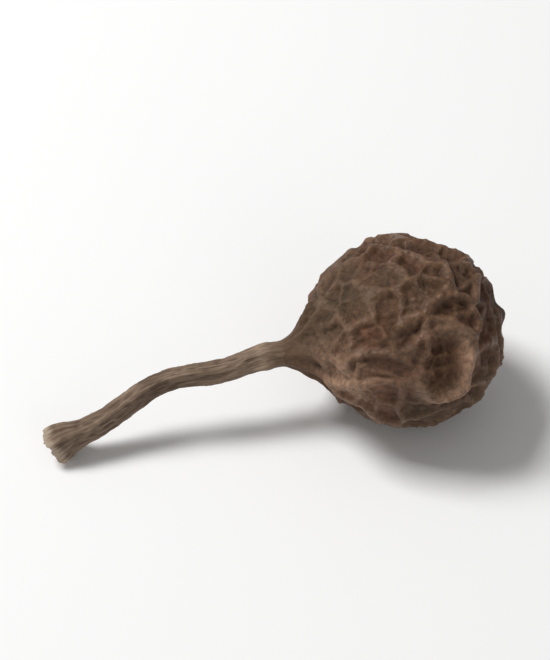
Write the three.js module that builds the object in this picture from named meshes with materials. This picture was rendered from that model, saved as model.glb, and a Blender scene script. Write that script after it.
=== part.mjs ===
// An ashanti pepper: one dried berry lying on its side, and the thin curved stalk that it grew on.
// Millimetres, with +Z up. The origin is the middle of the small flat spot that the berry rests on.
// The stalk leaves the berry towards -X and comes down until its broken end touches the same surface.

import * as THREE from "three";
import { mergeVertices } from "three/addons/utils/BufferGeometryUtils.js";

const { degToRad, smoothstep } = THREE.MathUtils;

// Berry, in millimetres and degrees
const BERRY_LENGTH = 4.6; // without the neck and the point
const BERRY_WIDTH = 4.5;
const BERRY_TAPER = 0.05; // share by which it narrows from the middle towards the stalk
const SHOULDER_LENGTH = 0.4; // the wide foot of the neck
const SHOULDER_SPREAD = 16; // how far round from the stalk it reaches
const NECK_LENGTH = 0.66; // the slim part that the stalk grows from
const NECK_SPREAD = 8;
const NECK_END = 2.74; // from the berry's centre to the face that carries the stalk
const APEX_LENGTH = 0.1; // the low cone at the far end
const APEX_SPREAD = 30;
const POINT_LENGTH = 0.26; // the small point on it
const POINT_SPREAD = 7;
const STALK_FALL = 4; // the berry's axis leans down by this much towards the stalk
const STALK_TURN = 10; // and turns to the front by this much
const REST_DEPTH = 0.16; // how much of the underside is pressed flat
const REST_FADE = [14, 30]; // from straight below, where the relief starts and where it is at full height
const END_CROWDING = 0.08; // radians by which the corners are drawn towards both ends

// Net of wrinkles. Shifts and pitches are for a sphere of radius 1.
const SEED = 7;
const HOLLOW_COUNT = 170;
const HOLLOW_SCATTER = 0.16;
const HOLLOW_DEPTH = 0.06;
const FIELD_COUNT = 46; // each field is a few hollows side by side
const FIELD_SCATTER = 0.25;
const RIDGE_HEIGHT = 0.13; // between two fields
const RIDGE_HALF_WIDTH = 0.17;
const LOW_RIDGE_HEIGHT = 0.05; // between two hollows of one field
const LOW_RIDGE_HALF_WIDTH = 0.12;
const CREST_POWER = 1.4; // of a ridge's height across it
const ROUNDING = 0.02; // of the hollows' corners
const LOWEST_SHARE = 0.55; // of the full height, where the net is weakest
const WARP_WAVES = 6;
const WARP_SHIFT = 0.05;
const WARP_PITCH = 7; // radians of a wave in one unit
const RIPPLE_WAVES = 6;
const RIPPLE_SHIFT = 0.016;
const RIPPLE_PITCH = 19;
const FADE_WAVES = 5;
const FADE_PITCH = 4;
const NET_NECK_FADE = [20, 44]; // degrees from the neck where the net starts and is at full height
const NET_POINT_FADE = [10, 28];

// Folds that run into the neck and into the point
const NECK_FOLDS = 9;
const NECK_FOLD_HEIGHT = 0.07;
const NECK_FOLD_PLACE = 25;
const NECK_FOLD_SPREAD = 13;
const POINT_FOLDS = 7;
const POINT_FOLD_HEIGHT = 0.05;
const POINT_FOLD_PLACE = 17;
const POINT_FOLD_SPREAD = 9;
const FOLD_WANDER = 0.7; // radians by which they stray to either side

// Broad shallow dents, and on the front a bulge and a round dimple with a rim. Spreads and places are for
// a sphere of radius 1.
const DENT_COUNT = 10;
const DENT_DEPTH = 0.18;
const DENT_SPREAD = 0.42;
const BULGE_TOWARDS = new THREE.Vector3(-0.55, -0.8, 0.14).normalize();
const BULGE_HEIGHT = 0.16;
const BULGE_SPREAD = 0.34;
const BROAD_NECK_FADE = [8, 26]; // degrees from the neck where dents and bulge start
const DIMPLE_TOWARDS = new THREE.Vector3(0.37, -0.83, 0.42).normalize();
const DIMPLE_DEPTH = 0.15;
const DIMPLE_FLOOR = 0.12; // how far out from its middle it is flat
const DIMPLE_RIM_HEIGHT = 0.16;
const DIMPLE_RIM_PLACE = 0.3;
const DIMPLE_RIM_SPREAD = 0.085;
const DIMPLE_HIGH_SIDE = new THREE.Vector3(0.7, 0.1, -0.7).normalize(); // where its rim is highest
const DIMPLE_LEAN = 0.5; // share by which it is higher there, and lower on the other side
const DIMPLE_CALM = 0.8; // share by which it quiets the net and the dents round it

// Stalk
const STALK_THICKNESS = 0.52;
const JOINT_GAP = 0.02; // between the neck's face and the stalk's own
const STALK_STRAIGHT_RUN = 2; // how far the path's first handle reaches along the berry's axis
const STALK_BEND = new THREE.Vector3(-6.5, -1.5, 1.4);
const STALK_TIP = new THREE.Vector3(-8.1, -1.95, 0.31);
const ROOT_FLARE = 0.28; // share by which the stalk widens where it meets the neck
const ROOT_FLARE_REACH = 0.025; // all places along the stalk are shares of its length
const TIP_FLARE = 0.7;
const TIP_FLARE_START = 0.86;
const KNUCKLE_PLACE = 0.075; // a slight thickening close to the neck
const KNUCKLE_HEIGHT = 0.14;
const KNUCKLE_SPREAD = 0.03;
const STALK_RIBS = 5;
const STALK_RIB_HEIGHT = 0.09;
const STALK_TWIST = 2.4; // radians that the ribs turn from root to tip
const STALK_SWELL = 0.06; // share by which it is thicker in some places than in others
const STALK_WAVER = 0.09; // how far the path strays from its curve
const TIP_RAG = 0.07; // how far the torn fibres round the tip reach past it or stop short
const TIP_HOLLOW = 0.08;

// Fineness
const BERRY_DETAIL = 22; // each edge of an icosahedron is split into this many and one more
const STALK_RINGS = 48;
const STALK_SIDES = 20;

const halfLength = BERRY_LENGTH / 2;
const halfWidth = BERRY_WIDTH / 2;
const fall = degToRad(STALK_FALL);
const turn = degToRad(STALK_TURN);
const towardsStalk = new THREE.Vector3(
  -Math.cos(fall) * Math.cos(turn),
  -Math.cos(fall) * Math.sin(turn),
  -Math.sin(fall),
);
const up = new THREE.Vector3(0, 0, 1);
const sideways = up.clone().cross(towardsStalk).normalize();
const upwards = towardsStalk.clone().cross(sideways);
const lowestBeforePressing = Math.hypot(halfWidth * Math.cos(fall), halfLength * Math.sin(fall));
const berryCentre = new THREE.Vector3(0, 0, lowestBeforePressing - REST_DEPTH);

// A repeatable stream of numbers from 0 to 1.
function seededNumbers(seed) {
  let state = seed;
  return () => {
    state = (Math.imul(state, 1664525) + 1013904223) >>> 0;
    return state / 4294967296;
  };
}

const random = seededNumbers(SEED);

function fromHeightAndAngle(height, angle) {
  const ring = Math.sqrt(1 - height * height);
  return new THREE.Vector3(ring * Math.cos(angle), ring * Math.sin(angle), height);
}

function randomDirection() {
  const height = 2 * random() - 1;
  return fromHeightAndAngle(height, 2 * Math.PI * random());
}

// Directions spread evenly over the sphere in a spiral, each moved a little along a drawn one.
function scattered(count, scatter) {
  const goldenAngle = Math.PI * (3 - Math.sqrt(5));
  return Array.from({ length: count }, (_, i) =>
    fromHeightAndAngle(1 - (2 * i + 1) / count, i * goldenAngle)
      .addScaledVector(randomDirection(), scatter)
      .normalize(),
  );
}

// Sine waves that run across the sphere, each along a drawn direction and with a push along another.
function drawWaves(count, pitch) {
  return Array.from({ length: count }, () => ({
    along: randomDirection().multiplyScalar(pitch * (0.6 + 0.8 * random())),
    start: 2 * Math.PI * random(),
    push: randomDirection(),
  }));
}

const hollowCentres = scattered(HOLLOW_COUNT, HOLLOW_SCATTER);
const hollowDepths = hollowCentres.map(() => HOLLOW_DEPTH * random());
const fieldCentres = scattered(FIELD_COUNT, FIELD_SCATTER);
const hollows = hollowCentres.map((centre, i) => {
  const distances = fieldCentres.map((field) => field.distanceTo(centre));
  return { centre, depth: hollowDepths[i], field: distances.indexOf(Math.min(...distances)) };
});
const warpWaves = drawWaves(WARP_WAVES, WARP_PITCH);
const rippleWaves = drawWaves(RIPPLE_WAVES, RIPPLE_PITCH);
const fadeWaves = drawWaves(FADE_WAVES, FADE_PITCH);
const dents = Array.from({ length: DENT_COUNT }, () => ({
  towards: randomDirection(),
  depth: DENT_DEPTH * (0.4 + 0.6 * random()),
  spread: DENT_SPREAD * (0.7 + 0.6 * random()),
}));

// A bell curve, 1 in the middle, of what lies spread away from it.
function bell(distance, spread) {
  return Math.exp(-((distance / spread) ** 2));
}

// 0 to 1 over a stretch of angles that is given in degrees.
function fade(angle, [from, to]) {
  return smoothstep(angle, degToRad(from), degToRad(to));
}

// How high a ridge of height 1 stands at a distance from its middle line.
function crest(distance, ridgeHalfWidth) {
  return Math.max(1 - (distance / ridgeHalfWidth) ** 2, 0) ** CREST_POWER;
}

function swingOf(wave, direction) {
  return Math.sin(wave.along.dot(direction) + wave.start);
}

// A direction pushed to and fro by the warp and ripple waves, so that no ridge runs straight.
function bentByWaves(direction) {
  const bent = direction.clone();
  for (const wave of warpWaves) bent.addScaledVector(wave.push, WARP_SHIFT * swingOf(wave, direction));
  for (const wave of rippleWaves) bent.addScaledVector(wave.push, RIPPLE_SHIFT * swingOf(wave, direction));
  return bent;
}

// The hollow that a point is in, and how far it is in millimetres from that hollow's border and from the
// border of its field. A border is the plane halfway between two centres, and the distances to all of them
// are blended, so that the hollows have round corners.
function placeInNet(point) {
  const squares = hollows.map((hollow) => hollow.centre.distanceToSquared(point));
  const nearest = Math.min(...squares);
  const own = hollows[squares.indexOf(nearest)];
  let nearHollows = 0;
  let nearFields = 0;
  hollows.forEach((other, i) => {
    if (other === own) return;
    const toBorder = (halfWidth * (squares[i] - nearest)) / (2 * own.centre.distanceTo(other.centre));
    const weight = Math.exp(-toBorder / ROUNDING);
    nearHollows += weight;
    if (other.field !== own.field) nearFields += weight;
  });
  return {
    own,
    toHollow: Math.max(0, -ROUNDING * Math.log(nearHollows)),
    toField: Math.max(0, -ROUNDING * Math.log(nearFields)),
  };
}

// Height of the net in millimetres: a low ridge on the border of each hollow, a high one on the border of
// each field, and the ground between them at each hollow's own depth. The fade waves weaken it in places.
function netHeight(direction, bent) {
  const { own, toHollow, toField } = placeInNet(bent);
  const low = crest(toHollow, LOW_RIDGE_HALF_WIDTH);
  const high = crest(toField, RIDGE_HALF_WIDTH);
  const swing = fadeWaves.reduce((sum, wave) => sum + swingOf(wave, direction), 0);
  const strength = LOWEST_SHARE + (1 - LOWEST_SHARE) * smoothstep(swing, -1.5, 1.5);
  return strength * (high * RIDGE_HEIGHT + (1 - high) * low * LOW_RIDGE_HEIGHT - (1 - low) * own.depth);
}

// Folds round the neck and round the point, each set strongest at its own angle from its end.
function foldHeight(direction, fromNeck) {
  const fromPoint = Math.PI - fromNeck;
  const around = Math.atan2(direction.dot(upwards), direction.dot(sideways));
  const wander = FOLD_WANDER * (Math.sin(3 * around + 1) + 0.6 * Math.sin(5 * around + 4));
  return (
    NECK_FOLD_HEIGHT *
      Math.cos(NECK_FOLDS * around + wander) *
      bell(fromNeck - degToRad(NECK_FOLD_PLACE), degToRad(NECK_FOLD_SPREAD)) +
    POINT_FOLD_HEIGHT *
      Math.cos(POINT_FOLDS * around + wander) *
      bell(fromPoint - degToRad(POINT_FOLD_PLACE), degToRad(POINT_FOLD_SPREAD))
  );
}

// How far the dried skin stands above the smooth berry at a direction, in millimetres.
function relief(direction, fromNeck) {
  const fromPoint = Math.PI - fromNeck;
  const bent = bentByWaves(direction);
  const inDimple = direction.clone().add(bent).divideScalar(2).sub(DIMPLE_TOWARDS);
  const fromDimple = inDimple.length();
  const lean = DIMPLE_LEAN * (inDimple.dot(DIMPLE_HIGH_SIDE) / Math.max(fromDimple, 0.01));
  const rim = bell(fromDimple - DIMPLE_RIM_PLACE, DIMPLE_RIM_SPREAD) * (1 + lean);
  const sunk = 1 - smoothstep(fromDimple, DIMPLE_FLOOR, DIMPLE_RIM_PLACE);
  const dimple = DIMPLE_RIM_HEIGHT * rim - DIMPLE_DEPTH * sunk;
  const bulge = BULGE_HEIGHT * bell(bent.distanceTo(BULGE_TOWARDS), BULGE_SPREAD);
  const dented = dents.reduce(
    (sum, dent) => sum + dent.depth * bell(bent.distanceTo(dent.towards), dent.spread),
    0,
  );
  const clearOfDimple = 1 - DIMPLE_CALM * bell(fromDimple, DIMPLE_RIM_PLACE);
  const clearOfEnds = fade(fromNeck, NET_NECK_FADE) * fade(fromPoint, NET_POINT_FADE);
  const clearOfRest = fade(Math.PI - direction.angleTo(up), REST_FADE);
  const net = netHeight(direction, bent) * clearOfEnds * clearOfDimple;
  const broad = (bulge - dented * clearOfDimple) * fade(fromNeck, BROAD_NECK_FADE);
  return clearOfRest * (net + foldHeight(direction, fromNeck) + dimple + broad);
}

// A point of the berry's skin. The smooth berry is an ellipsoid, narrower towards the stalk, that bell
// curves of the angle from its ends draw out into the neck and the point. The relief is raised from it,
// and the face of the neck and the rest spot are cut flat.
function berryPoint(direction) {
  const lengthwise = direction.dot(towardsStalk);
  const across = direction.clone().addScaledVector(towardsStalk, -lengthwise);
  const fromNeck = Math.acos(THREE.MathUtils.clamp(lengthwise, -1, 1));
  const fromPoint = Math.PI - fromNeck;
  const along =
    halfLength * lengthwise +
    SHOULDER_LENGTH * bell(fromNeck, degToRad(SHOULDER_SPREAD)) +
    NECK_LENGTH * bell(fromNeck, degToRad(NECK_SPREAD)) -
    APEX_LENGTH * bell(fromPoint, degToRad(APEX_SPREAD)) -
    POINT_LENGTH * bell(fromPoint, degToRad(POINT_SPREAD));
  const outwards = towardsStalk
    .clone()
    .multiplyScalar(lengthwise / halfLength)
    .addScaledVector(across, 1 / halfWidth)
    .normalize();
  const point = berryCentre
    .clone()
    .addScaledVector(towardsStalk, along)
    .addScaledVector(across, halfWidth * (1 - BERRY_TAPER * lengthwise))
    .addScaledVector(outwards, relief(direction, fromNeck));
  const pastFace = point.clone().sub(berryCentre).dot(towardsStalk) - NECK_END;
  point.addScaledVector(towardsStalk, -Math.max(0, pastFace));
  point.z = Math.max(0, point.z);
  return point;
}

// A direction drawn towards the nearer end of the berry's axis, because the form is finest there.
function crowded(direction) {
  const fromNeck = direction.angleTo(towardsStalk);
  const across = direction.clone().addScaledVector(towardsStalk, -Math.cos(fromNeck));
  if (across.length() < 1e-6) return direction;
  const drawn = fromNeck - END_CROWDING * Math.sin(2 * fromNeck);
  return across.setLength(Math.sin(drawn)).addScaledVector(towardsStalk, Math.cos(drawn));
}

function makeBerry() {
  const ball = new THREE.IcosahedronGeometry(1, BERRY_DETAIL);
  ball.deleteAttribute("normal");
  ball.deleteAttribute("uv");
  const skin = mergeVertices(ball);
  const places = skin.getAttribute("position");
  for (let i = 0; i < places.count; i++) {
    const direction = new THREE.Vector3().fromBufferAttribute(places, i).normalize();
    places.setXYZ(i, ...berryPoint(crowded(direction)));
  }
  skin.computeVertexNormals();
  const material = new THREE.MeshStandardMaterial({ color: 0x4f3a2d, roughness: 0.8, metalness: 0 });
  const berry = new THREE.Mesh(skin, material);
  berry.name = "berry";
  return berry;
}

// Half the stalk's thickness at a share of its length and an angle round it.
function stalkRadius(share, angle) {
  const flare =
    1 + ROOT_FLARE * Math.exp(-share / ROOT_FLARE_REACH) + TIP_FLARE * smoothstep(share, TIP_FLARE_START, 1);
  const swell =
    1 +
    STALK_SWELL * (Math.sin(9 * share) + 0.7 * Math.sin(23 * share)) +
    KNUCKLE_HEIGHT * bell(share - KNUCKLE_PLACE, KNUCKLE_SPREAD);
  const ribHeight = STALK_RIB_HEIGHT * smoothstep(share, 0, 0.1);
  const rib = 1 + ribHeight * Math.cos(STALK_RIBS * angle + STALK_TWIST * share);
  return (STALK_THICKNESS / 2) * flare * swell * rib;
}

// The stalk is a ribbed round section carried along one bent path from the neck's face to its broken tip.
// Between its ends the path strays a little from a smooth curve.
function makeStalk() {
  const root = berryCentre.clone().addScaledVector(towardsStalk, NECK_END + JOINT_GAP);
  const handle = root.clone().addScaledVector(towardsStalk, STALK_STRAIGHT_RUN);
  const path = new THREE.CubicBezierCurve3(root, handle, STALK_BEND, STALK_TIP);
  const corners = [];
  const faces = [];
  for (let ring = 0; ring <= STALK_RINGS; ring++) {
    const share = ring / STALK_RINGS;
    const ahead = path.getTangent(share);
    const side = up.clone().cross(ahead).normalize();
    const lift = ahead.clone().cross(side);
    const waver = STALK_WAVER * smoothstep(share, 0, 0.35) * (1 - smoothstep(share, 0.85, 1));
    const middle = path
      .getPoint(share)
      .addScaledVector(side, waver * Math.sin(9 * share))
      .addScaledVector(lift, waver * Math.sin(12 * share + 2));
    for (let corner = 0; corner < STALK_SIDES; corner++) {
      const angle = (2 * Math.PI * corner) / STALK_SIDES;
      const radius = stalkRadius(share, angle);
      const rag = Math.sin(angle + 1) + 0.6 * Math.sin(4 * angle + 2);
      const point = middle
        .clone()
        .addScaledVector(ahead, TIP_RAG * rag * smoothstep(share, 0.95, 1))
        .addScaledVector(side, radius * Math.cos(angle))
        .addScaledVector(lift, radius * Math.sin(angle));
      corners.push(point.x, point.y, Math.max(0, point.z));
    }
  }
  for (let ring = 0; ring < STALK_RINGS; ring++) {
    for (let corner = 0; corner < STALK_SIDES; corner++) {
      const next = (corner + 1) % STALK_SIDES;
      const a = ring * STALK_SIDES + corner;
      const b = ring * STALK_SIDES + next;
      faces.push(a, b, a + STALK_SIDES, b, b + STALK_SIDES, a + STALK_SIDES);
    }
  }
  const rootMiddle = corners.length / 3;
  const tipMiddle = rootMiddle + 1;
  const lastRing = STALK_RINGS * STALK_SIDES;
  corners.push(...root);
  corners.push(...STALK_TIP.clone().addScaledVector(path.getTangent(1), -TIP_HOLLOW));
  for (let corner = 0; corner < STALK_SIDES; corner++) {
    const next = (corner + 1) % STALK_SIDES;
    faces.push(rootMiddle, next, corner);
    faces.push(tipMiddle, lastRing + corner, lastRing + next);
  }
  const skin = new THREE.BufferGeometry();
  skin.setAttribute("position", new THREE.Float32BufferAttribute(corners, 3));
  skin.setIndex(faces);
  skin.computeVertexNormals();
  const material = new THREE.MeshStandardMaterial({ color: 0x7a6451, roughness: 0.85, metalness: 0 });
  const stalk = new THREE.Mesh(skin, material);
  stalk.name = "stalk";
  return stalk;
}

const peppercorn = new THREE.Group();
peppercorn.add(makeBerry(), makeStalk());

export default peppercorn;
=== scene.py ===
"""The looks of one dried ashanti peppercorn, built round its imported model.

Two fine skins take the place of the plain solids: the berry with its net of wrinkles, and the curved stalk.
Each is a surface worked out with numpy from two parameters. Shapes are worked out in millimetres, in the
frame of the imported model, and turned into metres where a mesh is made. The values that are headed "as
packed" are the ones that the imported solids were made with, so the skins have the same form.
"""

import math

import bpy
import numpy as np
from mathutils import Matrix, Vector


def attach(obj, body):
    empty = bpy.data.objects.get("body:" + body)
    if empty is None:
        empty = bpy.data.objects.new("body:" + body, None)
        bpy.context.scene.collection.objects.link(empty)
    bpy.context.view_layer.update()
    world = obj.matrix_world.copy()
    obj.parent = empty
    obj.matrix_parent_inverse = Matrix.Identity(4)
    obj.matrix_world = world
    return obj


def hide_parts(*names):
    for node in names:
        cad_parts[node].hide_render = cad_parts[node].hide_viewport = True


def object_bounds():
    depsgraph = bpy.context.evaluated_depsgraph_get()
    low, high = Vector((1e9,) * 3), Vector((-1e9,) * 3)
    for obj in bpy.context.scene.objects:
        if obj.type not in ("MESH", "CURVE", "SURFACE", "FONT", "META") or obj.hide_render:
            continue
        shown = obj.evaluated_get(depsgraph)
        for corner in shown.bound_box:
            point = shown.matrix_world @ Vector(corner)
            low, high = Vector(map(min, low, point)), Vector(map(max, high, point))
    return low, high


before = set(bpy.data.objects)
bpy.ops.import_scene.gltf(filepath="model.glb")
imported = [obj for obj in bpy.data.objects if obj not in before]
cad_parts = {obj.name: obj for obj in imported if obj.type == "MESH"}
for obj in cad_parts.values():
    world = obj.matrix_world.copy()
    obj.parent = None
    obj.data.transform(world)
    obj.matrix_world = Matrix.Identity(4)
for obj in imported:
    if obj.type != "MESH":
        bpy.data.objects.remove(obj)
cad_box = [list(corner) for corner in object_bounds()]

MM = 0.001

# Berry as packed, in millimetres and degrees
BERRY_LENGTH = 4.6  # without the neck and the point
BERRY_WIDTH = 4.5
BERRY_TAPER = 0.05  # share by which it narrows from the middle towards the stalk
SHOULDER_LENGTH = 0.4  # the wide foot of the neck
SHOULDER_SPREAD = 16  # how far round from the stalk it reaches
NECK_LENGTH = 0.66
NECK_SPREAD = 8
NECK_END = 2.74  # from the berry's centre to the face that carries the stalk
APEX_LENGTH = 0.1  # the low cone at the far end
APEX_SPREAD = 30
POINT_LENGTH = 0.26  # the small point on it
POINT_SPREAD = 7
STALK_FALL = 4  # the berry's axis leans down by this much towards the stalk
STALK_TURN = 10  # and turns to the front by this much
REST_DEPTH = 0.16  # how much of the underside is pressed flat
REST_FADE = (14, 30)  # from straight below, where the relief starts and where it is at full height

# Net of wrinkles as packed. Shifts and pitches are for a sphere of radius 1.
SEED = 7
HOLLOW_COUNT = 170
HOLLOW_SCATTER = 0.16
HOLLOW_DEPTH = 0.06
FIELD_COUNT = 46  # each field is a few hollows side by side
FIELD_SCATTER = 0.25
RIDGE_HEIGHT = 0.13  # between two fields
RIDGE_HALF_WIDTH = 0.17
LOW_RIDGE_HEIGHT = 0.05  # between two hollows of one field
LOW_RIDGE_HALF_WIDTH = 0.12
CREST_POWER = 1.4  # of a ridge's height across it
ROUNDING = 0.02  # of the hollows' corners
LOWEST_SHARE = 0.55  # of the full height, where the net is weakest
WARP_WAVES = 6
WARP_SHIFT = 0.05
WARP_PITCH = 7  # radians of a wave in one unit
RIPPLE_WAVES = 6
RIPPLE_SHIFT = 0.016
RIPPLE_PITCH = 19
FADE_WAVES = 5
FADE_PITCH = 4
NET_NECK_FADE = (20, 44)  # degrees from the neck where the net starts and is at full height
NET_POINT_FADE = (10, 28)

# Folds, dents, bulge and dimple as packed
NECK_FOLDS = 9
NECK_FOLD_HEIGHT = 0.07
NECK_FOLD_PLACE = 25
NECK_FOLD_SPREAD = 13
POINT_FOLDS = 7
POINT_FOLD_HEIGHT = 0.05
POINT_FOLD_PLACE = 17
POINT_FOLD_SPREAD = 9
FOLD_WANDER = 0.7  # radians by which they stray to either side
DENT_COUNT = 10
DENT_DEPTH = 0.18
DENT_SPREAD = 0.42
BULGE_TOWARDS = (-0.55, -0.8, 0.14)
BULGE_HEIGHT = 0.16
BULGE_SPREAD = 0.34
BROAD_NECK_FADE = (8, 26)  # degrees from the neck where dents and bulge start
DIMPLE_TOWARDS = (0.37, -0.83, 0.42)
DIMPLE_DEPTH = 0.15
DIMPLE_FLOOR = 0.12  # how far out from its middle it is flat
DIMPLE_RIM_HEIGHT = 0.16
DIMPLE_RIM_PLACE = 0.3
DIMPLE_RIM_SPREAD = 0.085
DIMPLE_HIGH_SIDE = (0.7, 0.1, -0.7)  # where its rim is highest
DIMPLE_LEAN = 0.5  # share by which it is higher there, and lower on the other side
DIMPLE_CALM = 0.8  # share by which it quiets the net and the dents round it

# Stalk as packed. Places along it are shares of its length, and paces are radians from root to tip.
STALK_THICKNESS = 0.52
JOINT_GAP = 0.02  # between the neck's face and the stalk's own
STALK_STRAIGHT_RUN = 2.0  # how far the path's first handle reaches along the berry's axis
STALK_BEND = (-6.5, -1.5, 1.4)
STALK_TIP = (-8.1, -1.95, 0.31)
ROOT_FLARE = 0.28
ROOT_FLARE_REACH = 0.025
TIP_FLARE = 0.7
TIP_FLARE_START = 0.86
STALK_RIBS = 5
STALK_RIB_HEIGHT = 0.09
RIB_START_REACH = 0.1
STALK_TWIST = 2.4  # radians that the ribs turn from root to tip
STALK_SWELL = 0.06  # share by which it is thicker in some places than in others
SLOW_PACE = 9
MIDDLE_PACE = 12
QUICK_PACE = 23
STALK_WAVER = 0.09  # how far the path strays from its curve
WAVER_RISE = (0, 0.35)
WAVER_FALL = (0.85, 1)
KNUCKLE_PLACE = 0.075  # a slight thickening close to the neck
KNUCKLE_HEIGHT = 0.14
KNUCKLE_SPREAD = 0.03
TIP_RAG = 0.07  # how far the torn fibres round the tip reach past it or stop short
TIP_RAG_START = 0.95
TIP_HOLLOW = 0.08

# How much the dimple's rim is rubbed lighter, on its low side and on its high side, and where the two are
# reached, from -1 at the lowest place of the rim to 1 at the highest. The lighter rim is partly wear and
# partly a painted highlight.
RIM_RUBBING_AND_HIGHLIGHT = (0.248, 0.62)
RIM_SIDES = (-0.2, 0.8)

# Fine relief of the berry. Pitches are cells of noise in a berry's half width.
FINE_CELL_COUNT = 520
FINE_CELL_SCATTER = 0.06
FINE_RIDGE_HEIGHT = 0.04
FINE_RIDGE_HALF_WIDTH = 0.07
FINE_WAVER = 0.035  # how far the fine ridges stray, for a sphere of radius 1
FINE_WAVER_PITCH = 7
FINE_WAVER_SEEDS = (11, 12, 13)
FINE_PATCH_PITCH = 2.6  # of the patches where the fine net is there or gone
FINE_PATCH_EDGE = (-0.45, 0.5)
FINE_PATCH_SEED = 21
FINE_IN_DIMPLE = 1.3  # added to its strength there
FINE_END_CALM = 0.7  # share by which it is lower at the neck and at the point
NECK_CALM_SPREAD = 0.5  # radians round the neck
POINT_CALM_SPREAD = 0.25
CRINKLE_HEIGHT = 0.022
CRINKLE_PITCH = 3.2
CRINKLE_SEED = 31
GROOVE_DEPTH = 0.03
GROOVE_PITCH = 2.1
GROOVE_SPREAD = 0.07  # of the noise to either side of 0
GROOVE_SEED = 81
GRAIN_HEIGHT = 0.006
GRAIN_PITCH = 13
GRAIN_SEED = 41

# Fine relief of the stalk
ROOT_SUNK = -0.02  # share of its length by which it starts inside the neck
ROOT_NARROWING = 14
FIBRE_HEIGHT = 0.018
FIBRE_SEED = 51
STALK_CRINKLE_HEIGHT = 0.016
STALK_CRINKLE_STRETCH = (0.8, 0.8, 1.3)
STALK_CRINKLE_SEED = 61
SMOOTH_ROOT_SHARE = 0.3  # of the full height of fibres and crinkles, at the root
FIBRE_PITCH_ROUND = 2.6  # cells of noise in the stalk's half thickness
FIBRE_PITCH_ALONG = 9  # and in its length
STREAK_PITCH_ROUND = 7.3
STREAK_PITCH_ALONG = 7
SPLINTER_HEIGHT = 0.055
SPLINTER_PITCH = 11  # cells of noise in a millimetre
SPLINTER_START = 0.975
SPLINTER_SEED = 71

# Noise
PLACE_FACTORS = (73856093, 19349663, 83492791)
SEED_FACTOR = 2654435761
MIXING = ((13, 1274126177), (16, 668265263))  # shifts in bits, and factors
NOISE_SCALE = 1.6  # brings its highest crests to about 1
CRINKLE_FALL = 2.2  # how steeply a crinkle falls away from its crest

# Fineness of the two surfaces
BERRY_ROWS = 250
BERRY_COLUMNS = 372
STALK_ROWS = 420
STALK_COLUMNS = 72
END_ROWS = 18  # across the stalk's broken end

# Colours of the skin, as linear red, green and blue with an alpha of 1
RED_BROWN = (0.116, 0.046, 0.022, 1)
OLIVE_BROWN = (0.090, 0.052, 0.025, 1)
BLACK_BROWN = (0.038, 0.019, 0.011, 1)
# Painted shade for the hollows
HOLLOW_SHADE_BROWN = (0.030, 0.014, 0.008, 1)
# Painted shade for the grooves
GROOVE_SHADE_BROWN = (0.028, 0.014, 0.009, 1)
CRACK_BROWN = (0.026, 0.013, 0.009, 1)
# Wear on the ridges; on the dimple's rim, which counts as a ridge, it is partly a painted highlight
RIDGE_WEAR_AND_RIM_HIGHLIGHT_BROWN = (0.190, 0.102, 0.054, 1)
# Lighter on the dimple's rim and the bulge: partly rubbing, partly a painted highlight
RUBBED_AND_HIGHLIGHT_BROWN = (0.37, 0.225, 0.145, 1)
FINE_RIDGE_BROWN = (0.165, 0.089, 0.047, 1)
NECK_BROWN = (0.120, 0.071, 0.041, 1)
SPECK_TAN = (0.32, 0.24, 0.17, 1)

# Colours of the stalk, the floor and the sky
STREAK_DARK = (0.135, 0.087, 0.057, 1)
STREAK_LIGHT = (0.31, 0.225, 0.16, 1)
BLOTCH_BROWN = (0.075, 0.046, 0.031, 1)
# Painted shade for the stalk's creases
CREASE_SHADE_BROWN = (0.05, 0.03, 0.02, 1)
# Paler on the knuckle: partly rubbed, partly a painted highlight
KNUCKLE_HIGHLIGHT_TAN = (0.41, 0.30, 0.215, 1)
TORN_TAN = (0.43, 0.34, 0.26, 1)
PITH_BROWN = (0.16, 0.105, 0.07, 1)
FLOOR_WHITE = (0.92, 0.92, 0.92, 1)
SKY_WHITE = (1.0, 0.99, 0.975, 1)

# Camera, floor and light
VIEW_AZIMUTH = 0
VIEW_ELEVATION = 47
LENS = 110
SENSOR = 36
FRAME_WIDTH = 550
FRAME_HEIGHT = 660
FILL = 0.84  # share of the picture's width that the peppercorn takes
FLOOR_HALF = 0.3
KEY_PLACE = (-0.072, 0.028, 0.120)
KEY_SIZE = 0.05
KEY_POWER = 0.172
FRONT_PLACE = (0.07, -0.14, 0.08)
FRONT_SIZE = 0.10
FRONT_POWER = 0.028
SKY_STRENGTH = 0.28


def unit(vectors):
    """Vectors along the last axis, each divided by its own length."""
    return vectors / np.linalg.norm(vectors, axis=-1, keepdims=True)


def bell(distance, spread):
    """A bell curve: e to the power of minus the square of distance over spread."""
    return np.exp(-((distance / spread) ** 2))


def smoothstep(value, low, high):
    """0 below low, 1 above high, and 3t^2 - 2t^3 between them."""
    share = np.clip((value - low) / (high - low), 0, 1)
    return share * share * (3 - 2 * share)


def fade(angle, stretch):
    """0 to 1 by smoothstep over a stretch of angles that is given in degrees."""
    return smoothstep(angle, math.radians(stretch[0]), math.radians(stretch[1]))


def crest(distance, reach):
    """Height across a ridge of height 1: 1 - (distance / reach)^2 to a power, and 0 past its foot."""
    return np.maximum(1 - (distance / reach) ** 2, 0) ** CREST_POWER


def points_of(x, y, z):
    """Points as rows of x, y and z, from three arrays that are spread out to one grid."""
    return np.stack(np.broadcast_arrays(x, y, z), axis=-1).reshape(-1, 3)


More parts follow.
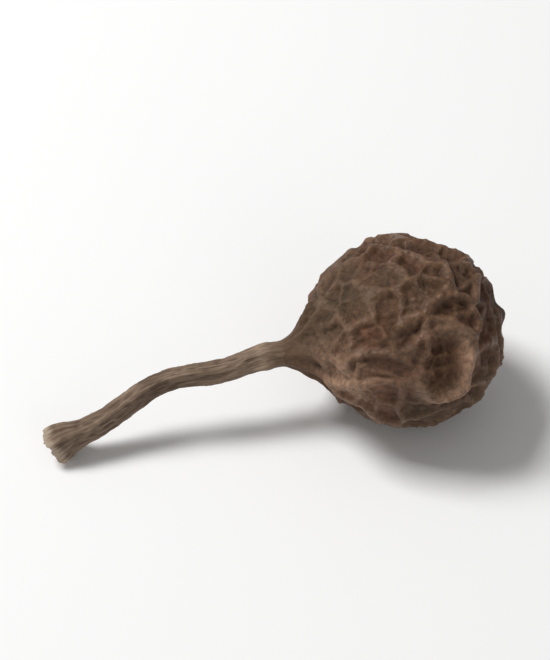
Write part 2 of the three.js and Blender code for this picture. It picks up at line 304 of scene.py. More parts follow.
class Draws:
    """A repeatable stream of numbers from 0 to 1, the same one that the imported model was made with."""

    def __init__(self, seed):
        self.state = seed

    def number(self):
        """The next number: the state times 1664525, plus 1013904223, in 32 bits."""
        self.state = (self.state * 1664525 + 1013904223) % 2**32
        return self.state / 2**32

    def direction(self):
        """A direction from a drawn height on the sphere and a drawn angle round it."""
        height = 2 * self.number() - 1
        angle = 2 * math.pi * self.number()
        ring = math.sqrt(1 - height * height)
        return np.array([ring * math.cos(angle), ring * math.sin(angle), height])


draws = Draws(SEED)


def spiral(count):
    """Directions spread evenly over the sphere: equal steps of height, each turned by the golden angle."""
    step = np.arange(count)
    height = 1 - (2 * step + 1) / count
    ring = np.sqrt(1 - height**2)
    angle = step * math.pi * (3 - math.sqrt(5))
    return np.stack([ring * np.cos(angle), ring * np.sin(angle), height], axis=-1)


def scattered(count, scatter):
    """The spiral's directions, each moved a little along a drawn one."""
    return unit(spiral(count) + scatter * np.array([draws.direction() for _ in range(count)]))


def draw_waves(count, pitch):
    """Sine waves across the sphere: the direction that each runs along, its start and its push."""
    along, start, push = [], [], []
    for _ in range(count):
        heading = draws.direction()
        along.append(heading * pitch * (0.6 + 0.8 * draws.number()))
        start.append(2 * math.pi * draws.number())
        push.append(draws.direction())
    return np.array(along), np.array(start), np.array(push)


def draw_dents(count):
    """Dents: the direction, the depth and the spread of each."""
    drawn = []
    for _ in range(count):
        towards = draws.direction()
        depth = DENT_DEPTH * (0.4 + 0.6 * draws.number())
        drawn.append((towards, depth, DENT_SPREAD * (0.7 + 0.6 * draws.number())))
    return drawn


hollow_centres = scattered(HOLLOW_COUNT, HOLLOW_SCATTER)
hollow_depths = HOLLOW_DEPTH * np.array([draws.number() for _ in range(HOLLOW_COUNT)])
field_centres = scattered(FIELD_COUNT, FIELD_SCATTER)
hollow_fields = (hollow_centres @ field_centres.T).argmax(1)
warp_waves = draw_waves(WARP_WAVES, WARP_PITCH)
ripple_waves = draw_waves(RIPPLE_WAVES, RIPPLE_PITCH)
fade_waves = draw_waves(FADE_WAVES, FADE_PITCH)
dents = draw_dents(DENT_COUNT)

fine_strays = np.sin(np.arange(3 * FINE_CELL_COUNT) ** 2).reshape(-1, 3)
fine_centres = unit(spiral(FINE_CELL_COUNT) + FINE_CELL_SCATTER * fine_strays)

half_length = BERRY_LENGTH / 2
half_width = BERRY_WIDTH / 2
fall = math.radians(STALK_FALL)
turn = math.radians(STALK_TURN)
up = np.array([0.0, 0.0, 1.0])
towards_stalk = np.array(
    [-math.cos(fall) * math.cos(turn), -math.cos(fall) * math.sin(turn), -math.sin(fall)]
)
sideways = unit(np.cross(up, towards_stalk))
upwards = np.cross(towards_stalk, sideways)
lowest_before_pressing = math.hypot(half_width * math.cos(fall), half_length * math.sin(fall))
berry_centre = np.array([0, 0, lowest_before_pressing - REST_DEPTH])


def bent_by_waves(direction):
    """Directions pushed a little to and fro by the warp and ripple waves, so that no ridge runs straight."""
    bent = direction
    for (along, start, push), shift in ((warp_waves, WARP_SHIFT), (ripple_waves, RIPPLE_SHIFT)):
        bent = bent + shift * np.sin(direction @ along.T + start) @ push
    return bent


def squared_distances(points, centres):
    """Square of the distance from each point to each of the centres, which are on the unit sphere."""
    return (points**2).sum(1)[:, None] + 1 - 2 * points @ centres.T


def border_distances(points, centres, fields):
    """Distance in millimetres from each point to the border of its own hollow, to the border of its field
    of hollows, and which hollow it is in. A border is the plane halfway between two centres, and the
    distances to all of them are blended, so that the hollows have round corners."""
    squares = squared_distances(points, centres)
    own = squares.argmin(1)
    apart = np.sqrt(np.maximum(2 - 2 * centres @ centres.T, 0)) + 1e-9
    beyond = (squares - squares.min(1)[:, None]) / (2 * apart[own]) * half_width
    weight = np.exp(-beyond / ROUNDING)
    weight[np.arange(len(points)), own] = 0
    to_hollow = -ROUNDING * np.log(weight.sum(1) + 1e-30)
    weight *= fields[own][:, None] != fields[None, :]
    to_field = -ROUNDING * np.log(weight.sum(1) + 1e-30)
    return np.maximum(to_hollow, 0), np.maximum(to_field, 0), own


def net_height(direction, bent):
    """The net of wrinkles: a low ridge on the border of each hollow and a high one where the next hollow
    is of another field, with the ground between at each hollow's own depth. Its strength rises and falls
    with the fade waves. Also how near each point is to the middle of a ridge."""
    to_hollow, to_field, own = border_distances(bent, hollow_centres, hollow_fields)
    low = crest(to_hollow, LOW_RIDGE_HALF_WIDTH)
    high = crest(to_field, RIDGE_HALF_WIDTH)
    along, start, _ = fade_waves
    swing = np.sin(direction @ along.T + start).sum(1)
    strength = LOWEST_SHARE + (1 - LOWEST_SHARE) * smoothstep(swing, -1.5, 1.5)
    height = high * RIDGE_HEIGHT + (1 - high) * low * LOW_RIDGE_HEIGHT
    height -= (1 - low) * hollow_depths[own]
    return strength * height, np.maximum(high, 0.5 * low) * strength


def fold_height(direction, from_neck):
    """Folds that run lengthwise into the neck and into the point: cosine waves of the angle round the axis,
    strongest at their own angle from their end."""
    around = np.arctan2(direction @ upwards, direction @ sideways)
    wander = FOLD_WANDER * (np.sin(3 * around + 1) + 0.6 * np.sin(5 * around + 4))
    at_neck = bell(from_neck - math.radians(NECK_FOLD_PLACE), math.radians(NECK_FOLD_SPREAD))
    at_point = bell(math.pi - from_neck - math.radians(POINT_FOLD_PLACE), math.radians(POINT_FOLD_SPREAD))
    neck_folds = NECK_FOLD_HEIGHT * np.cos(NECK_FOLDS * around + wander) * at_neck
    point_folds = POINT_FOLD_HEIGHT * np.cos(POINT_FOLDS * around + wander) * at_point
    return neck_folds + point_folds


def dimple_height(direction, bent):
    """The dimple in millimetres: a flat floor that rises by smoothstep to a rim with the section of a bell
    curve, which is higher on one side. Also the rim alone, from 0 to 1.5, how far towards its high side a
    point lies, from -1 to 1, and how near the point is to the dimple, from 0 to 1."""
    from_middle = (direction + bent) / 2 - unit(np.array(DIMPLE_TOWARDS))
    distance = np.linalg.norm(from_middle, axis=1)
    lean = from_middle @ unit(np.array(DIMPLE_HIGH_SIDE)) / np.maximum(distance, 0.01)
    rim = bell(distance - DIMPLE_RIM_PLACE, DIMPLE_RIM_SPREAD) * (1 + DIMPLE_LEAN * lean)
    sunk = 1 - smoothstep(distance, DIMPLE_FLOOR, DIMPLE_RIM_PLACE)
    height = DIMPLE_RIM_HEIGHT * rim - DIMPLE_DEPTH * sunk
    return height, rim, lean, bell(distance, DIMPLE_RIM_PLACE)


def packed_relief(direction, from_neck):
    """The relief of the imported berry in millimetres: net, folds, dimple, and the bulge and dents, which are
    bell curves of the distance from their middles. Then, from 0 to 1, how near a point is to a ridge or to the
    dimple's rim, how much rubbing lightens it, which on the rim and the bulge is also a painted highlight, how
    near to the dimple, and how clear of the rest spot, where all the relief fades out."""
    bent = bent_by_waves(direction)
    dimple, rim, lean, by_dimple = dimple_height(direction, bent)
    from_bulge = np.linalg.norm(bent - unit(np.array(BULGE_TOWARDS)), axis=1)
    on_bulge = bell(from_bulge, BULGE_SPREAD)
    dented = sum(
        depth * bell(np.linalg.norm(bent - towards, axis=1), spread) for towards, depth, spread in dents
    )
    clear_of_dimple = 1 - DIMPLE_CALM * by_dimple
    clear_of_ends = fade(from_neck, NET_NECK_FADE) * fade(math.pi - from_neck, NET_POINT_FADE)
    clear_of_rest = fade(np.arccos(np.clip(-direction @ up, -1, 1)), REST_FADE)
    net, on_ridge = net_height(direction, bent)
    net_share = clear_of_ends * clear_of_dimple
    broad = BULGE_HEIGHT * on_bulge - dented * clear_of_dimple
    broad *= fade(from_neck, BROAD_NECK_FADE)
    relief = clear_of_rest * (net * net_share + fold_height(direction, from_neck) + dimple + broad)
    # Lighter on the rim, most on its high side, and on the bulge: partly wear, partly a painted highlight. The
    # rim also counts as a ridge
    rubbed_and_highlight = np.interp(smoothstep(lean, *RIM_SIDES), (0, 1), RIM_RUBBING_AND_HIGHLIGHT) * rim + on_bulge
    return relief, np.maximum(on_ridge * net_share, rim), rubbed_and_highlight, by_dimple, clear_of_rest


def lattice_noise(points, seed):
    """Smooth noise from about -1 to 1. Each corner of a unit lattice has a slope, whose direction is mixed
    from its place and the seed. A point takes the heights that the eight slopes round it give, blended by
    6t^5 - 15t^4 + 10t^3 of its place between them."""
    cell = np.floor(points).astype(np.int64)
    part = points - cell
    ease = part**3 * (part * (part * 6 - 15) + 10)
    total = np.zeros(len(points))
    for corner in np.ndindex(2, 2, 2):
        mixed = ((cell + corner) * PLACE_FACTORS).sum(1) + seed * SEED_FACTOR
        for shift, factor in MIXING:
            mixed = (mixed ^ (mixed >> shift)) * factor % 2**32
        height = mixed % 65536 / 32768 - 1
        angle = (mixed >> 16) / 65536 * 2 * math.pi
        ring = np.sqrt(1 - height**2)
        slope = np.stack([ring * np.cos(angle), ring * np.sin(angle), height], axis=-1)
        weight = np.where(corner, ease, 1 - ease).prod(1)
        total += weight * ((part - corner) * slope).sum(1)
    return total * NOISE_SCALE


def layered_noise(points, seed, layers):
    """Lattice noise with finer layers on it, each twice as fine and half as high as the one before."""
    return sum(lattice_noise(points * 2**n, seed + n) / 2**n for n in range(layers))


def crinkled(points, seed):
    """Three layers of noise turned over at 0, which leaves sharp crests of height 1 where they cross it."""
    return 1 - CRINKLE_FALL * np.abs(layered_noise(points, seed, 3))


def fine_relief(direction, from_neck, by_dimple):
    """The finest relief in millimetres: a fine net on the borders between spread-out cells, strong in some
    patches and in the dimple, crinkles where layered noise turns over, grooves where it is near 0, and a
    grain. Also the nearness to a fine ridge and to a groove."""
    strays = [lattice_noise(direction * FINE_WAVER_PITCH, seed) for seed in FINE_WAVER_SEEDS]
    wavering = direction + FINE_WAVER * np.stack(strays, axis=-1)
    squares = np.partition(squared_distances(wavering, fine_centres), 1, axis=1)[:, :2]
    near, second = np.sqrt(np.maximum(squares, 0)).T
    ridge = crest(half_width * (second - near) / 2, FINE_RIDGE_HALF_WIDTH)
    patches = smoothstep(lattice_noise(direction * FINE_PATCH_PITCH, FINE_PATCH_SEED), *FINE_PATCH_EDGE)
    on_ridge = ridge * (patches + FINE_IN_DIMPLE * by_dimple)
    groove = bell(layered_noise(wavering * GROOVE_PITCH, GROOVE_SEED, 3), GROOVE_SPREAD)
    near_end = bell(from_neck, NECK_CALM_SPREAD) + bell(math.pi - from_neck, POINT_CALM_SPREAD)
    height = FINE_RIDGE_HEIGHT * on_ridge * (1 - FINE_END_CALM * near_end)
    height += CRINKLE_HEIGHT * crinkled(wavering * CRINKLE_PITCH, CRINKLE_SEED)
    height += GRAIN_HEIGHT * layered_noise(direction * GRAIN_PITCH, GRAIN_SEED, 2)
    height -= GROOVE_DEPTH * groove * (1 - near_end)
    return height, on_ridge, groove


def grid_faces(rows, columns):
    """Four-cornered faces of a grid of rows by columns corners whose columns close on themselves."""
    row = np.arange(rows - 1)[:, None] * columns
    column = np.arange(columns)[None, :]
    following = (column + 1) % columns
    corners = [row + column, row + following, row + columns + following, row + columns + column]
    return np.stack(corners, axis=-1).reshape(-1, 4)


def end_faces(rows, columns):
    """Triangles that close the grid's first and last row, each row round a corner of its own. Those two
    corners come after the grid's."""
    column = np.arange(columns)
    following = (column + 1) % columns
    first_pole = np.full(columns, rows * columns)
    last_row = (rows - 1) * columns
    first = np.stack([first_pole, following, column], axis=-1)
    last = np.stack([first_pole + 1, last_row + column, last_row + following], axis=-1)
    return np.concatenate([first, last])


def carried_round(pairs):
    """UV pairs of faces, where a face that crosses the start of the turn runs on past its end."""
    turn_share = pairs[..., 1]
    turn_share += (np.ptp(turn_share, axis=1, keepdims=True) > 0.5) & (turn_share < 0.5)
    return pairs.reshape(-1, 2)


def mesh_object(name, corners, rows, columns, uv, attributes):
    """A closed piece from its corners in millimetres: a grid of rows by columns, then the corner that closes
    its first row and the one that closes its last. It holds a UV map from one pair for each corner, and
    numbers or vectors on its corners for the material to read."""
    quads, fans = grid_faces(rows, columns), end_faces(rows, columns)
    loops = np.concatenate([quads.ravel(), fans.ravel()]).astype(np.int32)
    sizes = np.concatenate([np.full(len(quads), 4), np.full(len(fans), 3)])
    starts = np.concatenate([[0], np.cumsum(sizes)[:-1]]).astype(np.int32)
    mesh = bpy.data.meshes.new(name)
    mesh.vertices.add(len(corners))
    mesh.vertices.foreach_set("co", (corners * MM).astype(np.float32).ravel())
    mesh.loops.add(len(loops))
    mesh.loops.foreach_set("vertex_index", loops)
    mesh.polygons.add(len(sizes))
    mesh.polygons.foreach_set("loop_start", starts)
    mesh.polygons.foreach_set("use_smooth", np.ones(len(sizes), bool))
    mesh.update(calc_edges=True)
    for title, numbers in attributes.items():
        kind, field = ("FLOAT", "value") if numbers.ndim == 1 else ("FLOAT_VECTOR", "vector")
        stored = mesh.attributes.new(title, kind, "POINT")
        stored.data.foreach_set(field, numbers.astype(np.float32).ravel())
    fan_pairs = uv[fans]
    fan_pairs[:, 0, 1] = fan_pairs[:, 1, 1]
    pairs = np.concatenate([carried_round(uv[quads]), carried_round(fan_pairs)])
    layer = mesh.uv_layers.new(name="along_and_round")
    layer.data.foreach_set("uv", pairs.astype(np.float32).ravel())
    mesh.validate()
    piece = bpy.data.objects.new(name, mesh)
    bpy.context.scene.collection.objects.link(piece)
    return piece


def make_berry():
    """The berry's skin over two angles, from the stalk and round the axis. The smooth berry is an ellipsoid
    narrowed towards the stalk, which bell curves of the angle from its ends draw out into the neck and the
    point. The reliefs are raised from it, and the rest spot is cut flat. The neck's end runs on a little
    way inside the stalk."""
    from_neck = math.pi * (np.arange(BERRY_ROWS) + 0.5) / BERRY_ROWS
    around = 2 * math.pi * np.arange(BERRY_COLUMNS) / BERRY_COLUMNS
    angle, turned = [grid.ravel() for grid in np.meshgrid(from_neck, around, indexing="ij")]
    angle = np.concatenate([angle, [0, math.pi]])
    turned = np.concatenate([turned, [0, 0]])
    lengthwise = np.cos(angle)[:, None]
    across = np.cos(turned)[:, None] * sideways + np.sin(turned)[:, None] * upwards
    across *= np.sin(angle)[:, None]
    direction = lengthwise * towards_stalk + across
    along = half_length * lengthwise[:, 0]
    along += SHOULDER_LENGTH * bell(angle, math.radians(SHOULDER_SPREAD))
    along += NECK_LENGTH * bell(angle, math.radians(NECK_SPREAD))
    along -= APEX_LENGTH * bell(math.pi - angle, math.radians(APEX_SPREAD))
    along -= POINT_LENGTH * bell(math.pi - angle, math.radians(POINT_SPREAD))
    outwards = unit(lengthwise * towards_stalk / half_length + across / half_width)
    coarse, on_ridge, rubbed_and_highlight, by_dimple, clear_of_rest = packed_relief(direction, angle)
    fine, on_fine_ridge, groove = fine_relief(direction, angle, by_dimple)
    height = coarse + fine * clear_of_rest
    corners = berry_centre + along[:, None] * towards_stalk
    corners += half_width * (1 - BERRY_TAPER * lengthwise) * across
    corners += height[:, None] * outwards
    corners[:, 2] = np.maximum(corners[:, 2], 0)
    uv = np.stack([angle / math.pi, turned / (2 * math.pi)], axis=-1)
    attributes = {
        "on_ridge": on_ridge,
        "on_fine_ridge": on_fine_ridge,
        "rubbed_and_highlight": rubbed_and_highlight,
        "groove": groove,
        "height": height,
        "from_neck": angle,
    }
    return mesh_object("berry_skin", corners, BERRY_ROWS, BERRY_COLUMNS, uv, attributes)


def stalk_path(share):
    """Points of the stalk's path and its three directions there, ahead, to the side and up: one cubic Bezier
    curve from the neck's face, along the berry's axis at first and then down to the tip. Sine waves make it
    stray a little between its ends."""
    root = berry_centre + (NECK_END + JOINT_GAP) * towards_stalk
    handle = root + STALK_STRAIGHT_RUN * towards_stalk
    bend, tip = np.array(STALK_BEND), np.array(STALK_TIP)
    left = 1 - share
    points = left**3 * root + 3 * left**2 * share * handle + 3 * left * share**2 * bend + share**3 * tip
    ahead = 3 * left**2 * (handle - root) + 6 * left * share * (bend - handle) + 3 * share**2 * (tip - bend)
    ahead = unit(ahead)
    side = unit(np.cross(up, ahead))
    lift = np.cross(ahead, side)
    waver = STALK_WAVER * smoothstep(share, *WAVER_RISE) * (1 - smoothstep(share, *WAVER_FALL))
    points += waver * np.sin(SLOW_PACE * share) * side + waver * np.sin(MIDDLE_PACE * share + 2) * lift
    return points, ahead, side, lift


def stalk_radius(share, turned):
    """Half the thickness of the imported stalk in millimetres: a section with ribs, which flares at both ends,
    swells by sine waves and has a knuckle near the root. Inside the neck it narrows in a straight line."""
    flare = 1 + ROOT_FLARE * np.exp(-np.maximum(share, 0) / ROOT_FLARE_REACH)
    flare += ROOT_NARROWING * np.minimum(share - ROOT_SUNK / 5, 0)
    flare += TIP_FLARE * smoothstep(share, TIP_FLARE_START, 1)
    swell = 1 + STALK_SWELL * (np.sin(SLOW_PACE * share) + 0.7 * np.sin(QUICK_PACE * share))
    swell += KNUCKLE_HEIGHT * bell(share - KNUCKLE_PLACE, KNUCKLE_SPREAD)
    rib_height = STALK_RIB_HEIGHT * smoothstep(share, 0, RIB_START_REACH)
    rib = 1 + rib_height * np.cos(STALK_RIBS * turned + STALK_TWIST * share)
    return STALK_THICKNESS / 2 * flare * swell * rib


def stalk_relief(share, turned):
    """Fibres and crinkles of the stalk in millimetres, by noise that is stretched along it, and lower at the
    root. Also the crinkles alone, with crests of height 1."""
    place = points_of(
        FIBRE_PITCH_ROUND * np.cos(turned), FIBRE_PITCH_ROUND * np.sin(turned), FIBRE_PITCH_ALONG * share
    )
    shape = (len(share), STALK_COLUMNS)
    fibre = layered_noise(place, FIBRE_SEED, 3).reshape(shape)
    crinkle = crinkled(place * STALK_CRINKLE_STRETCH, STALK_CRINKLE_SEED).reshape(shape)
    rough = SMOOTH_ROOT_SHARE + (1 - SMOOTH_ROOT_SHARE) * smoothstep(share, 0, RIB_START_REACH)
    return rough * (FIBRE_HEIGHT * fibre + STALK_CRINKLE_HEIGHT * crinkle), crinkle


def torn_end(share, turned, outwards, radius):
    """How far in millimetres the stalk's surface is moved ahead at its broken end: to and fro by sine waves
    of the angle at its torn edge, back by a parabola across the end, and to and fro by noise in splinters."""
    waves = np.sin(turned + 1) + 0.6 * np.sin(4 * turned + 2)
    edge = TIP_RAG * waves * smoothstep(share, TIP_RAG_START, 1) * outwards
    place = points_of(radius * np.cos(turned), radius * np.sin(turned), 0)
    noise = layered_noise(place * SPLINTER_PITCH, SPLINTER_SEED, 3).reshape(radius.shape)
    splinters = SPLINTER_HEIGHT * noise * smoothstep(share, SPLINTER_START, 1)
    return edge - TIP_HOLLOW * (1 - outwards**2) + splinters


def make_stalk():
    """The stalk's skin over the share of its length and the angle round it: a section carried along the
    path. After the path's end the section shrinks to a point, which closes the broken end."""
    rows = STALK_ROWS + END_ROWS
    row = np.arange(rows)[:, None]
    share = ROOT_SUNK + (1 - ROOT_SUNK) * np.minimum(row / (STALK_ROWS - 1), 1)
    outwards = 1 - np.maximum(row - STALK_ROWS + 1, 0) / (END_ROWS + 1)
    turned = 2 * math.pi * np.arange(STALK_COLUMNS)[None, :] / STALK_COLUMNS
    relief, crinkle = stalk_relief(share, turned)
    radius = (stalk_radius(share, turned) + relief) * outwards
    middle, ahead, side, lift = [vectors[:, None, :] for vectors in stalk_path(share)]
    corners = middle + torn_end(share, turned, outwards, radius)[..., None] * ahead
    corners += (radius * np.cos(turned))[..., None] * side
    corners += (radius * np.sin(turned))[..., None] * lift
    corners = corners.reshape(-1, 3)
    corners[:, 2] = np.maximum(corners[:, 2], 0)
    corners = np.concatenate([corners, [middle[0, 0], corners[-STALK_COLUMNS:].mean(0)]])
    ring = STREAK_PITCH_ROUND * outwards
    streak_place = points_of(ring * np.cos(turned), ring * np.sin(turned), STREAK_PITCH_ALONG * share)
    along = np.concatenate([np.repeat(share, STALK_COLUMNS), [0, 1]])
    turn_share = np.concatenate([np.tile(turned[0] / (2 * math.pi), rows), [0, 0]])
    uv = np.stack([along, turn_share], axis=-1)
    attributes = {
        "streak_place": np.concatenate([streak_place, [(0, 0, 0), (0, 0, STREAK_PITCH_ALONG)]]),
        "along": along,
        "crease": np.concatenate([crinkle.ravel(), [0, 0]]),
        "inwards": np.concatenate([np.repeat(1 - outwards, STALK_COLUMNS), [0, 1]]),
    }
    return mesh_object("stalk_skin", corners, rows, STALK_COLUMNS, uv, attributes)


class Shader:
    """A new material, and short ways to add its nodes and to link them."""

    def __init__(self, name):
        self.material = bpy.data.materials.new(name)
        self.material.use_nodes = True
        self.tree = self.material.node_tree
        self.surface = self.tree.nodes["Principled BSDF"]

    def node(self, kind, settings=None, **inputs):
        """A node of a kind, with its settings, and with each input linked to a socket or set to a value. An
        input is named by its title, or by n and its number where titles repeat."""
        made = self.tree.nodes.new(kind)
        for title, value in (settings or {}).items():
            setattr(made, title, value)
        for title, value in inputs.items():
            self.feed(made, title.replace("_", " "), value)
        return made

    def feed(self, node, title, value):
        """Links a node's input to a socket, or sets it to a value."""
        numbered = title[0] == "n" and title[1:].isdigit()
        socket = node.inputs[int(title[1:])] if numbered else node.inputs[title]
        if isinstance(value, bpy.types.NodeSocket):
            self.tree.links.new(value, socket)
        else:
            socket.default_value = value

    def number(self, attribute):
        """A number that the piece holds on its corners."""
        return self.node("ShaderNodeAttribute", {"attribute_name": attribute}).outputs["Fac"]

    def vector(self, attribute):
        """A vector that the piece holds on its corners."""
        return self.node("ShaderNodeAttribute", {"attribute_name": attribute}).outputs["Vector"]

    def object_mm(self):
        """The piece's own place in millimetres."""
        place = self.node("ShaderNodeTexCoord").outputs["Object"]
        return self.node("ShaderNodeMapping", Vector=place, Scale=(1000, 1000, 1000)).outputs["Vector"]

    def noise(self, vector, scale, detail, roughness=0.5):
        """Noise from 0 to 1 with a number of finer layers."""
        made = self.node("ShaderNodeTexNoise", Vector=vector, Scale=scale, Detail=detail, Roughness=roughness)
        return made.outputs["Fac"]

    def spread(self, value, low, high, to_low=0.0, to_high=1.0):
        """A value's stretch from low to high, carried over to another stretch and held at its ends."""
        made = self.node("ShaderNodeMapRange", n0=value, n1=low, n2=high, n3=to_low, n4=to_high)
        return made.outputs["Result"]

    def mix(self, share, first, second, blend="MIX"):
        """The first colour with a share of the second over it."""
        settings = {"data_type": "RGBA", "blend_type": blend}
        made = self.node("ShaderNodeMix", settings, n0=share, n6=first, n7=second)
        return made.outputs[2]

    def maths(self, operation, *terms):
        """One operation on one, two or three terms."""
        inputs = {f"n{place}": term for place, term in enumerate(terms)}
        return self.node("ShaderNodeMath", {"operation": operation}, **inputs).outputs[0]

    def bump(self, height, distance, strength, under=None):
        """A bump of a height in metres, on top of another one where that is given."""
        made = self.node("ShaderNodeBump", Height=height, Distance=distance, Strength=strength)
        if under:
            self.feed(made, "Normal", under)
        return made.outputs["Normal"]


def skin_material():
    """Dried skin: black-brown in the hollows and grooves, which is painted shade, worn to a warmer and lighter
    brown with a slight gloss on the ridges and the dimple's rim, and lighter still by rubbing on the dimple's
    rim and the bulge, which is partly wear and partly a painted highlight, in broad patches of red-brown and
    olive, with hairline cracks, a fine mottle and a dusting of pale specks."""
    shader = Shader("dried_skin")
    place = shader.object_mm()
    ridge = shader.number("on_ridge")
    patches = shader.spread(shader.noise(place, 0.45, 2), 0.4, 0.6)
    base = shader.mix(patches, RED_BROWN, OLIVE_BROWN)
    dark = shader.spread(shader.noise(place, 1.2, 4), 0.38, 0.66, 0.0, 0.6)
    base = shader.mix(dark, base, BLACK_BROWN)
    # Painted shade: darker where the surface lies low, in the hollows
    hollow_shade = shader.spread(shader.number("height"), -0.25, 0.03, 0.3, 0.0)
    base = shader.mix(hollow_shade, base, HOLLOW_SHADE_BROWN)
    # Painted shade in the grooves
    groove_shade = shader.maths("MULTIPLY", shader.number("groove"), 0.5)
    base = shader.mix(groove_shade, base, GROOVE_SHADE_BROWN)
    uneven = shader.spread(shader.noise(place, 2.4, 3), 0.3, 0.7, 0.25, 1.0)
    # Lighter on the ridges by wear, and on the dimple's rim, where it is partly a painted highlight
    base = shader.mix(shader.maths("MULTIPLY", ridge, uneven), base, RIDGE_WEAR_AND_RIM_HIGHLIGHT_BROWN)
    # Lighter still on the dimple's rim and the bulge: partly rubbing, partly a painted highlight
    rub_and_highlight_patches = shader.spread(shader.noise(place, 3.5, 4, 0.6), 0.36, 0.56, 0.62, 1.0)
    rubbed_and_highlight = shader.maths("MULTIPLY", shader.number("rubbed_and_highlight"), rub_and_highlight_patches)
    base = shader.mix(rubbed_and_highlight, base, RUBBED_AND_HIGHLIGHT_BROWN)
    faint = shader.maths("MULTIPLY", shader.number("on_fine_ridge"), 0.3)
    base = shader.mix(faint, base, FINE_RIDGE_BROWN)
    mottle = shader.spread(shader.noise(place, 8, 5, 0.6), 0.3, 0.7, 0.68, 1.3)
    base = shader.mix(1.0, base, mottle, "MULTIPLY")
    off_middle = shader.maths("SUBTRACT", shader.noise(place, 2.6, 5, 0.6), 0.5)
    crack = shader.spread(shader.maths("ABSOLUTE", off_middle), 0.0, 0.022, 1.0, 0.0)
    base = shader.mix(shader.maths("MULTIPLY", crack, 0.3), base, CRACK_BROWN)
    neck = shader.spread(shader.number("from_neck"), 0.15, 0.6, 0.7, 0.0)
    base = shader.mix(neck, base, NECK_BROWN)
    specks = shader.spread(shader.noise(place, 24, 2, 0.5), 0.70, 0.76, 0.0, 0.5)
    base = shader.mix(specks, base, SPECK_TAN)
    shader.feed(shader.surface, "Base Color", base)
    shader.feed(shader.surface, "Roughness", shader.spread(ridge, 0.0, 1.0, 0.76, 0.38))
    shader.surface.inputs["Specular IOR Level"].default_value = 0.34
    pores = shader.bump(shader.noise(place, 28, 4, 0.6), 0.00002, 0.6)
    lumps = shader.bump(shader.noise(place, 9, 4, 0.55), 0.00005, 0.5, pores)
    cracks = shader.bump(shader.maths("SUBTRACT", 1.0, crack), 0.000015, 0.6, lumps)
    shader.feed(shader.surface, "Normal", cracks)
    return shader.material


def stalk_material():
    """Dried stalk: grey-tan with lengthwise streaks, darker in its creases, which is painted shade, redder
    where it meets the neck, paler on the knuckle after it, which is partly rubbed and partly a painted
    highlight, and along the ragged edge of its tip, and with darker pith in the middle of the broken end."""
    shader = Shader("dried_stalk")
    place = shader.object_mm()
    stretched = shader.vector("streak_place")
    ragged = shader.noise(stretched, 1.6, 3, 0.6)
    along = shader.number("along")
    streaks = shader.spread(shader.noise(stretched, 1, 4, 0.6), 0.32, 0.68)
    base = shader.mix(streaks, STREAK_DARK, STREAK_LIGHT)
    blotches = shader.spread(shader.noise(place, 1.3, 3), 0.4, 0.66, 0.0, 0.55)
    base = shader.mix(blotches, base, BLOTCH_BROWN)
    # Painted shade in the creases
    crease = shader.spread(shader.number("crease"), -0.4, 0.6, 0.5, 0.0)
    base = shader.mix(crease, base, CREASE_SHADE_BROWN)
    # Paler on the knuckle: partly rubbed, partly a painted highlight
    past_root = shader.spread(along, 0.01, 0.1, 0.0, 0.75)
    knuckle = shader.maths("MULTIPLY", past_root, shader.spread(along, 0.1, 0.26, 1.0, 0.0))
    knuckle = shader.maths("MULTIPLY", knuckle, shader.spread(ragged, 0.38, 0.6))
    base = shader.mix(knuckle, base, KNUCKLE_HIGHLIGHT_TAN)
    root = shader.spread(along, 0.0, 0.1, 0.75, 0.0)
    base = shader.mix(root, base, NECK_BROWN)
    torn = shader.maths("MULTIPLY_ADD", ragged, 0.09, along)
    base = shader.mix(shader.spread(torn, 1.012, 1.03, 0.0, 0.85), base, TORN_TAN)
    inner = shader.spread(shader.number("inwards"), 0.05, 0.6)
    speckled = shader.spread(shader.noise(place, 17, 3, 0.6), 0.4, 0.6, 0.25, 0.8)
    base = shader.mix(shader.maths("MULTIPLY", inner, speckled), base, PITH_BROWN)
    shader.feed(shader.surface, "Base Color", base)
    shader.surface.inputs["Roughness"].default_value = 0.72
    shader.surface.inputs["Specular IOR Level"].default_value = 0.22
    fibres = shader.bump(shader.noise(stretched, 2, 5, 0.6), 0.00003, 0.6)
    shader.feed(shader.surface, "Normal", fibres)
    return shader.material


def floor_material():
    """Plain matt white paper-like ground."""
    shader = Shader("pale_floor")
    shader.surface.inputs["Base Color"].default_value = FLOOR_WHITE
    shader.surface.inputs["Roughness"].default_value = 0.9
    shader.surface.inputs["Specular IOR Level"].default_value = 0.1
    return shader.material


def make_floor():
    """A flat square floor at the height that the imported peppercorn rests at."""
    height = cad_box[0][2]
    corners = [(x * FLOOR_HALF, y * FLOOR_HALF, height) for x, y in ((-1, -1), (1, -1), (1, 1), (-1, 1))]
    mesh = bpy.data.meshes.new("floor")
    mesh.from_pydata(corners, [], [(0, 1, 2, 3)])
    floor = bpy.data.objects.new("floor", mesh)
    floor.data.materials.append(floor_material())
    bpy.context.scene.collection.objects.link(floor)


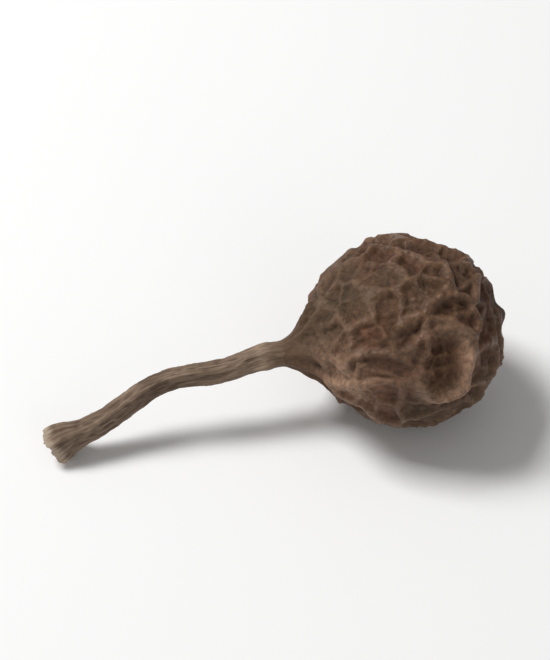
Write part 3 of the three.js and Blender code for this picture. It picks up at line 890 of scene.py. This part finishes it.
def aim(thing, towards):
    """Turns a camera or a lamp so that it looks along a direction, with its top up."""
    thing.rotation_mode = "QUATERNION"
    thing.rotation_quaternion = towards.to_track_quat("-Z", "Y")


def make_camera():
    """A long lens at the photo's angle above the floor, far enough off for the peppercorn to take its
    share of the picture's width."""
    low, high = Vector(cad_box[0]), Vector(cad_box[1])
    azimuth, elevation = math.radians(VIEW_AZIMUTH), math.radians(VIEW_ELEVATION)
    level = math.cos(elevation)
    back = Vector((math.sin(azimuth) * level, -math.cos(azimuth) * level, math.sin(elevation)))
    half_view = math.atan(SENSOR / 2 / LENS * FRAME_WIDTH / FRAME_HEIGHT)
    distance = (high.x - low.x) / 2 / FILL / math.tan(half_view)
    lens = bpy.data.cameras.new("camera")
    lens.lens = LENS
    lens.sensor_width = SENSOR
    lens.clip_start = distance / 20
    lens.clip_end = 50 * distance
    camera = bpy.data.objects.new("camera", lens)
    camera.location = (low + high) / 2 + back * distance
    aim(camera, -back)
    bpy.context.scene.collection.objects.link(camera)
    bpy.context.scene.camera = camera


def make_softbox(name, place, size, power):
    """A square lamp that faces the peppercorn."""
    lamp = bpy.data.lights.new(name, "AREA")
    lamp.size = size
    lamp.energy = power
    box = bpy.data.objects.new(name, lamp)
    box.location = place
    aim(box, -Vector(place))
    bpy.context.scene.collection.objects.link(box)


def make_light():
    """Soft light from above, from the left and a little behind, a weaker lamp from the front right, and a
    pale sky."""
    make_softbox("key", KEY_PLACE, KEY_SIZE, KEY_POWER)
    make_softbox("front", FRONT_PLACE, FRONT_SIZE, FRONT_POWER)
    world = bpy.data.worlds.new("pale_sky")
    world.use_nodes = True
    sky = world.node_tree.nodes["Background"]
    sky.inputs["Color"].default_value = SKY_WHITE
    sky.inputs["Strength"].default_value = SKY_STRENGTH
    bpy.context.scene.world = world
    bpy.context.scene.view_settings.view_transform = "Standard"


make_camera()
make_floor()
make_light()

berry = make_berry()
berry.data.materials.append(skin_material())
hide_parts("berry")
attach(berry, "root")

stalk = make_stalk()
stalk.data.materials.append(stalk_material())
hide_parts("stalk")
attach(stalk, "root")
